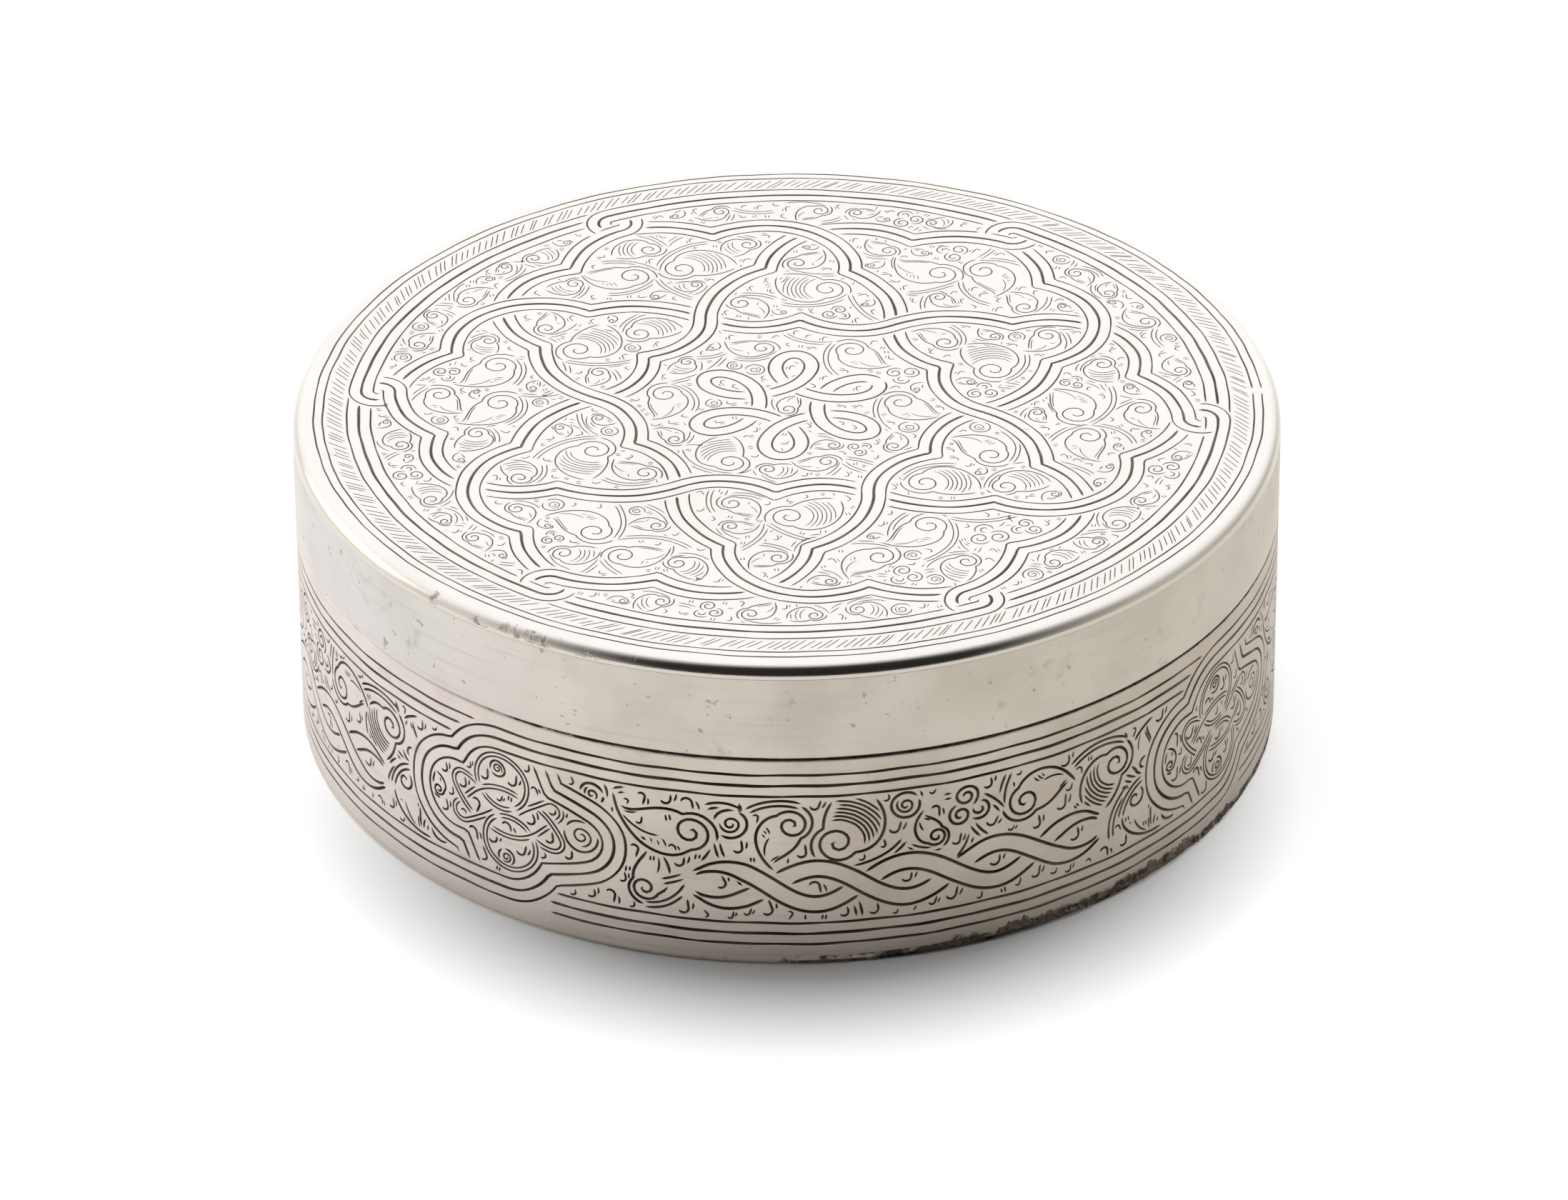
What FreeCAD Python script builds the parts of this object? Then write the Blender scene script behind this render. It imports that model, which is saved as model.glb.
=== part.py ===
import FreeCAD, Part
import math
import os
import Sketcher

# Round silver box with a lift-off lid, soldered up from sheet
# Millimetres, +Z up, origin at the centre of the underside, seams of the rolled strips at +Y

doc = FreeCAD.newDocument("silver_box")

# Driving sizes
driving_sizes = {
    "box_diameter": 120.0,         # over the base wall and over the lid skirt, which are flush
    "base_height": 28.8,           # underside to the seam where the lid sits down
    "lid_height": 12.5,            # seam to the top of the lid
    "base_plate_thickness": 1.2,
    "base_wall_thickness": 1.1,
    "lid_top_thickness": 1.6,
    "lid_skirt_thickness": 1.1,
    "collar_thickness": 0.8,
    "collar_overlap": 7.0,         # how far the collar reaches down inside the wall
    "collar_headroom": 4.4,        # collar's top edge to the underside of the lid's disc
    "lid_fit_gap": 0.15,           # radial play between the collar and the lid skirt
    "lid_edge_round": 1.5,         # top edge of the lid
    "lid_rim_round": 0.25,         # lower outer edge of the lid skirt
    "base_rim_round": 0.5,         # upper outer edge of the base wall
    "foot_round": 0.6,             # lower edge of the base plate
    "collar_lip_round": 0.3,       # upper outer edge of the collar, which leads the lid on
    "edge_land": 0.1,              # least straight stretch that a rounding leaves on its sheet
    "solder_bead": 0.8,            # leg of a solder run in a corner
    "solder_recess": 0.3,          # collar solder stops this far below the seam
    "strip_gap": 0.2,              # butt joint of a rolled strip, filled with solder
}
sizes = doc.addObject("Spreadsheet::Sheet", "Sizes")
for row, (alias, value) in enumerate(driving_sizes.items(), start=1):
    sizes.set(f"A{row}", alias)
    sizes.set(f"B{row}", str(value))
    sizes.setAlias(f"B{row}", alias)
doc.recompute()

# Sizes that follow from the driving ones
outer_radius = "(Sizes.box_diameter / 2)"
wall_inner = f"({outer_radius} - Sizes.base_wall_thickness)"
skirt_inner = f"({outer_radius} - Sizes.lid_skirt_thickness)"
thickest_ring = "max(Sizes.base_wall_thickness; Sizes.lid_skirt_thickness)"
collar_outer = f"({outer_radius} - {thickest_ring} - Sizes.lid_fit_gap)"
collar_inner = f"({collar_outer} - Sizes.collar_thickness)"
wall_height = "(Sizes.base_height - Sizes.base_plate_thickness)"
skirt_height = "(Sizes.lid_height - Sizes.lid_top_thickness)"
lid_underside = f"(Sizes.base_height + {skirt_height})"
collar_bottom = "(Sizes.base_height - Sizes.collar_overlap)"
collar_height = f"({lid_underside} - Sizes.collar_headroom - {collar_bottom})"
full_turn = "360"
seam_bearing = "90"


def plane_of(body, role):
    return next(plane for plane in body.Origin.OriginFeatures if plane.Role == role)


def new_body(label, height):
    body = doc.addObject("PartDesign::Body", label)
    body.Label = label
    body.setExpression("Placement.Base.z", height)
    return body


def new_sketch(body, role):
    sketch = body.newObject("Sketcher::SketchObject", f"{body.Label}_sketch")
    sketch.AttachmentSupport = [(plane_of(body, role), "")]
    sketch.MapMode = "FlatFace"
    return sketch


def set_distance(sketch, kind, line, name, expression):
    constraint = Sketcher.Constraint(kind, -1, 1, line, 1, 1.0)
    sketch.renameConstraint(sketch.addConstraint(constraint), name)
    sketch.setExpression(f"Constraints.{name}", expression)


def half_section(body, corners):
    # Closed outline on the XZ plane; a corner is a radius and a height, both as expressions
    sketch = new_sketch(body, "XZ_Plane")
    count = len(corners)
    turns = [2 * math.pi * index / count for index in range(count)]
    starts = [FreeCAD.Vector(2 + math.cos(turn), 2 + math.sin(turn), 0) for turn in turns]
    for index in range(count):
        sketch.addGeometry(Part.LineSegment(starts[index], starts[(index + 1) % count]), False)
    for index in range(count):
        sketch.addConstraint(Sketcher.Constraint("Coincident", index, 2, (index + 1) % count, 1))
    for index, (radius, height) in enumerate(corners):
        set_distance(sketch, "DistanceX", index, f"radius_{index}", radius)
        if height == "0":
            sketch.addConstraint(Sketcher.Constraint("PointOnObject", index, 1, -1))
        else:
            set_distance(sketch, "DistanceY", index, f"height_{index}", height)
    return sketch


def revolve(body, sketch, angle):
    ring = body.newObject("PartDesign::Revolution", f"{body.Label}_ring")
    ring.Profile = sketch
    ring.ReferenceAxis = (sketch, ["V_Axis"])
    ring.setExpression("Angle", angle)
    doc.recompute()
    return ring


def round_outer_edge(body, base, at_top, radius, sheet_thickness):
    # Rounds the outermost circular edge of the top or of the bottom face, as far as the sheet allows
    side = 1 if at_top else -1
    edges = list(enumerate(base.Shape.Edges, start=1))
    circles = [(index, edge.Curve) for index, edge in edges if isinstance(edge.Curve, Part.Circle)]
    chosen, _ = max(circles, key=lambda item: (side * round(item[1].Center.z, 4), item[1].Radius))
    fillet = body.newObject("PartDesign::Fillet", f"{body.Label}_round")
    fillet.Base = (base, [f"Edge{chosen}"])
    fillet.setExpression("Radius", f"min({radius}; {sheet_thickness} - Sizes.edge_land)")
    doc.recompute()


def make_disc(label, height, thickness, edge_at_top, edge_round):
    # Flat disc as wide as the box, with one edge rounded
    body = new_body(label, height)
    sketch = new_sketch(body, "XY_Plane")
    sketch.addGeometry(Part.Circle(), False)
    sketch.addConstraint(Sketcher.Constraint("Coincident", 0, 3, -1, 1))
    index = sketch.addConstraint(Sketcher.Constraint("Radius", 0, 1.0))
    sketch.renameConstraint(index, "rim")
    sketch.setExpression("Constraints.rim", outer_radius)
    disc = body.newObject("PartDesign::Pad", f"{label}_disc")
    disc.Profile = sketch
    disc.setExpression("Length", thickness)
    doc.recompute()
    round_outer_edge(body, disc, edge_at_top, edge_round, thickness)
    return body


def make_strip(label, seam_label, height, strip_height, outside, inside, thickness, edge_at_top, edge_round):
    # Strip rolled round until its ends meet at the seam, and the solder that fills the gap there
    gap_angle = f"(Sizes.strip_gap / {outside} * 180 / pi)"
    corners = [(inside, "0"), (outside, "0"), (outside, strip_height), (inside, strip_height)]
    strip_and_seam = []
    for name, angle, start in (
        (label, f"{full_turn} - {gap_angle}", f"{seam_bearing} + {gap_angle} / 2"),
        (seam_label, gap_angle, f"{seam_bearing} - {gap_angle} / 2"),
    ):
        body = new_body(name, height)
        body.Placement.Rotation = FreeCAD.Rotation(FreeCAD.Vector(0, 0, 1), float(seam_bearing))
        body.setExpression("Placement.Rotation.Angle", start)
        ring = revolve(body, half_section(body, corners), angle)
        round_outer_edge(body, ring, edge_at_top, edge_round, thickness)
        strip_and_seam.append(body)
    return strip_and_seam


def make_solder_run(label, height, corners):
    # Run of solder all the way round the box
    body = new_body(label, height)
    revolve(body, half_section(body, corners), full_turn)
    return body


# Base: plate, wall on it, collar inside the wall
sub_parts = [make_disc("base_plate", "0", "Sizes.base_plate_thickness", False, "Sizes.foot_round")]
sub_parts += make_strip(
    "base_wall", "base_wall_seam", "Sizes.base_plate_thickness", wall_height,
    outer_radius, wall_inner, "Sizes.base_wall_thickness", True, "Sizes.base_rim_round")
sub_parts += make_strip(
    "inner_collar", "collar_seam", collar_bottom, collar_height,
    collar_outer, collar_inner, "Sizes.collar_thickness", True, "Sizes.collar_lip_round")
sub_parts.append(make_solder_run("base_plate_solder", "Sizes.base_plate_thickness", [
    (wall_inner, "0"),
    (wall_inner, "Sizes.solder_bead"),
    (f"{wall_inner} - Sizes.solder_bead", "0"),
]))
film_top = "Sizes.solder_bead + Sizes.collar_overlap - Sizes.solder_recess"
sub_parts.append(make_solder_run("collar_solder", f"{collar_bottom} - Sizes.solder_bead", [
    (wall_inner, "0"),
    (wall_inner, film_top),
    (collar_outer, film_top),
    (collar_outer, "Sizes.solder_bead"),
    (f"{collar_outer} - min(Sizes.solder_bead; Sizes.collar_thickness)", "Sizes.solder_bead"),
]))

# Lid: skirt that sits on the wall's rim, disc on the skirt
sub_parts += make_strip(
    "lid_skirt", "lid_skirt_seam", "Sizes.base_height", skirt_height,
    outer_radius, skirt_inner, "Sizes.lid_skirt_thickness", False, "Sizes.lid_rim_round")
sub_parts.append(make_disc("lid_top", lid_underside, "Sizes.lid_top_thickness", True, "Sizes.lid_edge_round"))
sub_parts.append(make_solder_run("lid_top_solder", f"{lid_underside} - Sizes.solder_bead", [
    (skirt_inner, "0"),
    (skirt_inner, "Sizes.solder_bead"),
    (f"{skirt_inner} - Sizes.solder_bead", "Sizes.solder_bead"),
]))
doc.recompute()

# Nothing is written unless every object is sound
for item in doc.Objects:
    if {"Invalid", "Error"} & set(item.State):
        raise RuntimeError(f"{item.Name} did not recompute: {item.State}")
for sub_part in sub_parts:
    if sub_part.Shape.isNull() or not sub_part.Shape.isValid():
        raise RuntimeError(f"{sub_part.Label} has no valid shape")
    print(f"{sub_part.Label}: {sub_part.Shape.Volume:.1f} mm3, {len(sub_part.Shape.Solids)} solid")

os.makedirs("parts", exist_ok=True)
for sub_part in sub_parts:
    sub_part.Shape.exportStep(os.path.join("parts", f"{sub_part.Label}.step"))
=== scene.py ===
from functools import partial
import bpy
import numpy as np
from mathutils import Matrix, Vector
from mathutils.geometry import delaunay_2d_cdt


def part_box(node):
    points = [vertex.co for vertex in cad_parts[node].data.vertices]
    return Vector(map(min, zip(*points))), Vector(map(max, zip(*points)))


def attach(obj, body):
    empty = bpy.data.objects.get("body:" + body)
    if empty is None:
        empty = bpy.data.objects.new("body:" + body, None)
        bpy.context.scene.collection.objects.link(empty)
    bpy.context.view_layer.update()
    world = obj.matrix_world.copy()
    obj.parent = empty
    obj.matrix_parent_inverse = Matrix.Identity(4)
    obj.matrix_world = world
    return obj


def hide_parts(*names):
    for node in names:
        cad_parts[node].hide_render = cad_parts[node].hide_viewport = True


# Round silver box with a lift-off lid, engraved on the lid and round the wall
# Shapes are worked out in millimetres and put into the meshes in metres, in the CAD model's own frame
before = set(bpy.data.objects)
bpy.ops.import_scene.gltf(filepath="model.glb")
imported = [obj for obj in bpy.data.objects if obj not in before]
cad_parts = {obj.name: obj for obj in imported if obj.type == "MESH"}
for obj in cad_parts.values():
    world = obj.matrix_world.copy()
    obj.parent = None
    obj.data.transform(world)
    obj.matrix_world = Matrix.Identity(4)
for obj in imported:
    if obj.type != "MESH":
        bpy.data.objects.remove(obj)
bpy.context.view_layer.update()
scene = bpy.context.scene
scene.view_settings.view_transform = "Standard"


def boxOf(node):
    low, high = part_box(node)
    return np.array(low) * 1000, np.array(high) * 1000


# Heights and radii that the CAD nodes already fix
lidLow, lidHigh = boxOf("lid_top")
skirtLow, skirtHigh = boxOf("lid_skirt")
wallLow, wallHigh = boxOf("base_wall")
boxRadius = float(lidHigh[0])
girth = 2 * np.pi * boxRadius
sheetThick = 1.1         # of the rolled strips of wall and skirt
seamGap = 0.2            # butt joint of the rolled strips, filled by the CAD's own solder pieces
seamBearing = 90.0


# Drawing on the flat sheet: a line is an array of complex numbers, x + 1j*y
def polar(radius, degrees):
    return radius * np.exp(1j * np.radians(degrees))


def lengthAlong(line):
    return np.concatenate([[0.0], np.cumsum(np.abs(np.diff(line)))])


def resample(line, step):
    # Same line with its points an even step apart
    s = lengthAlong(line)
    count = max(4, int(np.ceil(s[-1] / step)) + 1)
    return np.interp(np.linspace(0, s[-1], count), s, line)


def arcTo(start, heading, end, step=0.3):
    # z(t) = start - 1j*radius*(exp(1j*(heading + turn*t)) - exp(1j*heading))
    # The chord gives turn and radius
    chord = end - start
    turn = 2 * np.angle(chord * np.exp(-1j * heading))
    turn = turn if abs(turn) > 1e-5 else 1e-5
    radius = abs(chord) / (2 * np.sin(turn / 2))
    t = np.linspace(0, 1, max(4, int(np.ceil(abs(radius * turn) / step)) + 1))
    return start - 1j * radius * (np.exp(1j * (heading + turn * t)) - np.exp(1j * heading)), heading + turn


def spiral(centre, radius, startAngle, turns, inner, step):
    # z(t) = centre + radius*(1 - (1 - inner)*t)*exp(1j*(startAngle + 2*pi*turns*t))
    # Turns below 0 run clockwise
    t = np.linspace(0, 1, max(10, int(abs(turns) * 2 * np.pi * radius * 0.65 / step)))
    return centre + radius * (1 - (1 - inner) * t) * np.exp(1j * (startAngle + 2 * np.pi * turns * t))


def bezier(p0, p1, p2, p3, count=24):
    # Cubic curve on four control points
    t = np.linspace(0, 1, count)
    return p0 * (1 - t) ** 3 + 3 * p1 * t * (1 - t) ** 2 + 3 * p2 * t ** 2 * (1 - t) + p3 * t ** 3


def joinPath(pieces, cuspAfter):
    # One path from pieces that meet end to end, and the places of its cusps
    path, cusps = pieces[0], []
    for piece, isCusp in zip(pieces[1:], cuspAfter):
        if isCusp:
            cusps.append(len(path) - 1)
        path = np.concatenate([path, piece[1:]])
    return path, cusps


def parallelLine(path, cusps, offset):
    # path + offset*1j*exp(1j*bisector)/cos(turn/2)
    # Inside a cusp the points that would fold over are dropped
    legs = np.diff(path)
    turn = np.angle(legs[1:] / legs[:-1])
    heading = np.angle(legs)
    bisector = np.concatenate([[heading[0]], heading[:-1] + turn / 2, [heading[-1]]])
    mitre = np.concatenate([[1.0], 1 / np.cos(turn / 2), [1.0]])
    s = lengthAlong(path)
    keep = np.ones(len(path), bool)
    for cusp in cusps:
        half = turn[cusp - 1] / 2
        if half * offset > 0:
            near = np.abs(s - s[cusp]) < abs(offset * np.tan(half))
            near[cusp] = False
            keep &= ~near
    return (path + offset * mitre * 1j * np.exp(1j * bisector))[keep]


def farFrom(line, path, reach):
    # True where a point of the line is more than reach away from the path
    return np.abs(line[:, None] - path[None, :]).min(axis=1) > reach


def visibleRuns(line, shown):
    # Stretches of the line where shown holds
    edges = np.flatnonzero(np.diff(np.concatenate([[0], shown.astype(int), [0]])))
    return [line[a:b] for a, b in zip(edges[::2], edges[1::2]) if b - a >= 3]


def meetings(a, legA, b, legB):
    # Share t of leg A at which a + t*legA meets b + u*legB, and whether t and u both lie from 0 to 1
    cross = (np.conj(legA) * legB).imag
    cross = np.where(np.abs(cross) < 1e-12, 1e-12, cross)
    t = (np.conj(b - a) * legB).imag / cross
    u = (np.conj(b - a) * legA).imag / cross
    return t, (t >= 0) & (t < 1) & (u >= 0) & (u < 1)


def crossings(pathA, pathB):
    # Points where two polylines cross
    a, legA = pathA[:-1, None], np.diff(pathA)[:, None]
    t, hit = meetings(a, legA, pathB[None, :-1], np.diff(pathB)[None, :])
    return (a + t * legA)[hit]


# A plate keeps the cuts made so far, where the metal is taken, and how much room is left round each spot
def newPlate(low, high, seed):
    inkCell, roomCell = 0.08, 0.5
    span = high - low
    y, x = np.mgrid[low.imag:high.imag:roomCell, low.real:high.real:roomCell]
    inked = np.zeros((int(span.imag / inkCell) + 2, int(span.real / inkCell) + 2), bool)
    return dict(low=low, inkCell=inkCell, inked=inked, place=x + 1j * y, roomCell=roomCell,
                room=np.full(x.shape, 60.0), cuts=[], rng=np.random.default_rng(seed))


def inkIndex(plate, z):
    offset = (z - plate["low"]) / plate["inkCell"]
    rows = np.clip(offset.imag.astype(int), 0, plate["inked"].shape[0] - 1)
    columns = np.clip(offset.real.astype(int), 0, plate["inked"].shape[1] - 1)
    return rows, columns


def inkPlaces(plate):
    rows, columns = np.indices(plate["inked"].shape)
    return plate["low"] + (columns + 0.5 + 1j * (rows + 0.5)) * plate["inkCell"]


def markInk(plate, line, reach):
    # Keeps later cuts out of everything within reach of the line
    dense = resample(line, plate["inkCell"] * 1.5)
    cells = int(np.ceil(reach / plate["inkCell"]))
    dy, dx = np.mgrid[-cells:cells + 1, -cells:cells + 1]
    disc = (dx + 1j * dy)[np.hypot(dx, dy) <= reach / plate["inkCell"]] * plate["inkCell"]
    rows, columns = inkIndex(plate, (dense[:, None] + disc[None, :]).ravel())
    plate["inked"][rows, columns] = True


def takeRoom(plate, line, reach):
    # room = least distance to any line, less that line's reach
    dense = resample(line, 0.6)
    corner, cell, margin = plate["place"][0, 0], plate["roomCell"], 9
    for part in np.array_split(dense, max(1, len(dense) // 40)):
        low = part.real.min() - margin - corner.real, part.imag.min() - margin - corner.imag
        high = part.real.max() + margin - corner.real, part.imag.max() + margin - corner.imag
        window = (slice(max(0, int(low[1] / cell)), max(0, int(high[1] / cell) + 1)),
                  slice(max(0, int(low[0] / cell)), max(0, int(high[0] / cell) + 1)))
        near = plate["place"][window]
        if near.size:
            gap = np.abs(near[:, :, None] - part[None, None, :]).min(axis=2) - reach
            plate["room"][window] = np.minimum(plate["room"][window], gap)


def reserve(plate, line, reach):
    takeRoom(plate, line, reach)
    markInk(plate, line, reach)


def engrave(plate, line, width, step=0.45, taper=0.8, clear=0.17, claim=True, push=0.0):
    # Cuts a line where the metal is free; a run thins out at its ends, and between pushes of the graver
    line = resample(line, step)
    free = ~plate["inked"][inkIndex(plate, line)]
    for run in visibleRuns(line, free):
        s = lengthAlong(run)
        if s[-1] < 0.7:
            continue
        lead = min(taper, 0.35 * s[-1])
        swell = np.clip(s / lead, 0, 1) ** 0.6 * np.clip((s[-1] - s) / (lead * 0.7), 0, 1) ** 0.6
        if push:
            phase = plate["rng"].random() * np.pi
            swell *= 0.68 + 0.32 * np.abs(np.sin(np.pi * s / push + phase)) ** 0.6
        plate["cuts"].append((run, width * swell))
        markInk(plate, run[1:-1] if len(run) > 5 else run, width / 2 + clear)
        markInk(plate, run, 0.1)
        if claim:
            takeRoom(plate, run, width / 2)


# Motifs of the scrollwork, each drawn about one unit in size; a spot is its centre, size, angle and hand
def placed(line, spot):
    centre, size, angle, hand = spot
    return centre + size * np.exp(1j * angle) * (line if hand > 0 else np.conj(line))


def reserveDisc(plate, centre, radius):
    reserve(plate, centre + np.linspace(0, 1e-3, 4), radius)


def cutMotif(plate, spot, line, strokes, clear=0.17):
    # Each stroke has a weight, its share of the motif's line width
    for stroke, weight in strokes:
        engrave(plate, placed(stroke, spot), line * weight, step=max(0.26, 0.115 * spot[1]), clear=clear)


def twinStem(plate, start, heading, bend, length, line, gap=0.55):
    # Two lines along an arc whose heading turns by bend over its length
    t = np.linspace(0, 1, 24)
    path = start + np.concatenate([[0], np.cumsum(np.exp(1j * (heading + bend * t[:-1])))]) * length / 23
    for side in (-0.5, 0.5):
        engrave(plate, parallelLine(path, [], side * gap), line, step=0.6, clear=0.13)


def leaf(plate, spot, line, slim, tip=1.36, lean=30):
    # Point r from the rolled head at bearing bend*q**2 + side*opening*(1 - q)**slim
    # q is 0 at the head and 1 at the tip; shift brings the middle of the leaf to its spot
    head, shift, bend, opening = 0.44, 0.38, np.radians(lean), np.radians(80)
    q = np.linspace(1, 0, 30)
    r = head + (tip - head) * q
    middle, spreadAngle = bend * q ** 2, opening * (1 - q) ** slim
    turn = np.linspace(0, 1, 40)[1:]
    roll = head * (1 - 0.88 * turn) * np.exp(-1j * (opening + 2 * np.pi * 1.6 * turn))
    wrap = head * (1 + 0.34 * turn) * np.exp(1j * (opening + np.radians(125) * turn))
    belly = np.concatenate([r * np.exp(1j * (middle - spreadAngle)), roll]) - shift
    back = np.concatenate([r * np.exp(1j * (middle + spreadAngle)), wrap]) - shift
    strokes, gap = [(belly, 1.0), (back, 1.0)], 0.42 / spot[1]
    if slim > 1:
        # A second line inside the back, and veins that leave a rib along the middle
        strokes.append((r[3:26] * np.exp(1j * (middle + spreadAngle - gap / r)[3:26]) - shift, 0.7))
        rib = r * np.exp(1j * (middle - 0.15 * spreadAngle)) - shift
        strokes.append((rib[4:25], 0.7))
        for at in rib[8:24:max(3, int(9 * gap / 0.2))]:
            strokes.append((bezier(at, at - 0.10 - 0.06j, at - 0.16 - 0.16j, at - 0.14 - 0.30j, 7), 0.65))
    else:
        # A comb of arcs round the rolled head
        for reach in np.arange(head + 1.5 * gap, 0.86 * tip, 1.25 * gap):
            share = (reach - head) / (tip - head)
            half = opening * (1 - share) ** slim - 0.55 * gap / reach
            across = bend * share ** 2 + np.linspace(-half, half, 9)
            strokes.append((reach * np.exp(1j * across) - shift, 0.75))
    cutMotif(plate, spot, line, strokes, 0.11)
    reserveDisc(plate, placed(-shift + 0j, spot), head * spot[1])
    reserveDisc(plate, placed(0.30 + 0.05j, spot), 0.3 * spot[1])
    root = placed(back[-1], spot)
    return root, np.angle(root - placed(back[-3], spot))


slimLeaf, shellLeaf = partial(leaf, slim=1.5), partial(leaf, slim=0.8)
flameLeaf = partial(leaf, slim=1.9, tip=1.8, lean=32)


def trefoil(plate, spot, line):
    # Three rolled lobes
    for lobe in (95, 215, -35):
        middle = 0.42 * np.exp(1j * np.radians(lobe))
        cutMotif(plate, spot, line, [(spiral(middle, 0.46, np.radians(lobe - 165), 1.75, 0.16, 0.04), 1.0)])
        reserveDisc(plate, placed(middle, spot), 0.38 * spot[1])
    return placed(-0.75j, spot), spot[2] + np.radians(-90)


def ringedEye(plate, spot, line):
    # Ring, nearly closed, with a spiral inside
    cutMotif(plate, spot, line, [(spiral(0, 0.80, 0.3, 0.96, 0.97, 0.05), 1.0)])
    cutMotif(plate, spot, line, [(spiral(0, 0.52, 2.0, 1.7, 0.14, 0.04), 0.85)], 0.12)
    centre, size, angle, hand = spot
    reserveDisc(plate, centre, 0.78 * size)
    return placed(0.85, spot), angle + hand * np.radians(70)


def hookPair(plate, spot, line):
    # A stem that turns through 153 degrees at its foot, and a short tick beside it
    stem = 0.24 + 0.04j + 1j * np.linspace(0.85, 0.0, 5)
    foot = -0.14 + 0.04j + 0.38 * np.exp(-1j * np.radians(np.linspace(12, 165, 8)))
    tick = bezier(0.66 + 0.72j, 0.68 + 0.4j, 0.64 + 0.2j, 0.50 - 0.05j, 6)
    for stroke, weight in ((np.concatenate([stem, foot]), 1.0), (tick, 0.85)):
        engrave(plate, placed(stroke, spot), line * weight, step=0.25, taper=0.5, clear=0.09, claim=False)


def tickPair(plate, spot, line):
    # Two short strokes side by side
    for shift in (-0.32, 0.32):
        stroke = shift + np.linspace(0.62j + 0.08, -0.62j - 0.08, 6)
        engrave(plate, placed(stroke, spot), line, step=0.22, taper=0.4, clear=0.09, claim=False)


def fillRoom(plate, largest, smallest, grow, margin, line, motifs, flow, stems, most=700):
    # Puts a motif into the widest free circle, again and again
    # Lines that would meet others stop short of them
    rng = plate["rng"]
    for attempt in range(most):
        room = plate["room"]
        widest = room.max()
        if widest - margin < smallest:
            break
        target = min(widest, largest + margin)
        spots = np.argwhere((room >= 0.96 * target) & (room <= target + 0.6))
        row, column = spots[rng.integers(len(spots))]
        centre, radius = plate["place"][row, column], min(room[row, column] - margin, largest)
        hand = 1 if rng.random() < 0.5 else -1
        angle = flow(centre) + rng.normal(0, 0.35) + (np.pi if rng.random() < 0.5 else 0)
        motif = motifs[rng.integers(len(motifs))]
        root, heading = motif(plate, (centre, radius * grow, angle, hand), line)
        if stems:
            for bend in (1.1, -1.3):
                twinStem(plate, root, heading + 0.3 * bend, bend * (0.8 + 0.5 * rng.random()),
                         radius * (1.7 + rng.random()), line * 0.85)
        takeRoom(plate, centre + np.linspace(0, 1e-3, 4), radius * 0.75)


def fillHooks(plate, smallest, size, line, mark, flow, waver, most=3000):
    # Small marks in whatever gaps are left
    rng = plate["rng"]
    for attempt in range(most):
        room = plate["room"]
        if room.max() < smallest:
            break
        row, column = np.unravel_index(room.argmax(), room.shape)
        centre = plate["place"][row, column]
        angle = flow(centre) + rng.normal(0, waver)
        markSize = size * (0.85 + 0.3 * rng.random())
        mark(plate, (centre, markSize, angle, 1 if rng.random() < 0.75 else -1), line)
        takeRoom(plate, centre + np.linspace(0, 1e-3, 4), 1.05 * size)


def fillPlate(plate, scrolls, marks, line, flow):
    # Scrolls: largest and smallest free circle, growth, margin, share of the line, motifs, stems or not
    # Marks: smallest gap, size, share of the line, kind, how far their angle strays
    for *sizes, share, motifs, stems in scrolls:
        fillRoom(plate, *sizes, share * line, motifs, flow, stems)
    for smallest, size, share, mark, waver in marks:
        fillHooks(plate, smallest, size, share * line, mark, flow, waver)


# Sheets: a flat plate with its cuts as V grooves
def handWobble(z):
    # z + a*sin(...) both ways: the small waver of lines drawn by hand
    across = np.sin(0.55 * z.imag + 1.3 * np.sin(0.21 * z.real)) + 0.6 * np.sin(1.1 * z.imag - 0.7 * z.real)
    along = np.sin(0.48 * z.real + 1.1 * np.sin(0.17 * z.imag)) + 0.6 * np.sin(0.9 * z.real + 0.8 * z.imag)
    return z + 0.04 * across + 0.04j * along


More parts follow.
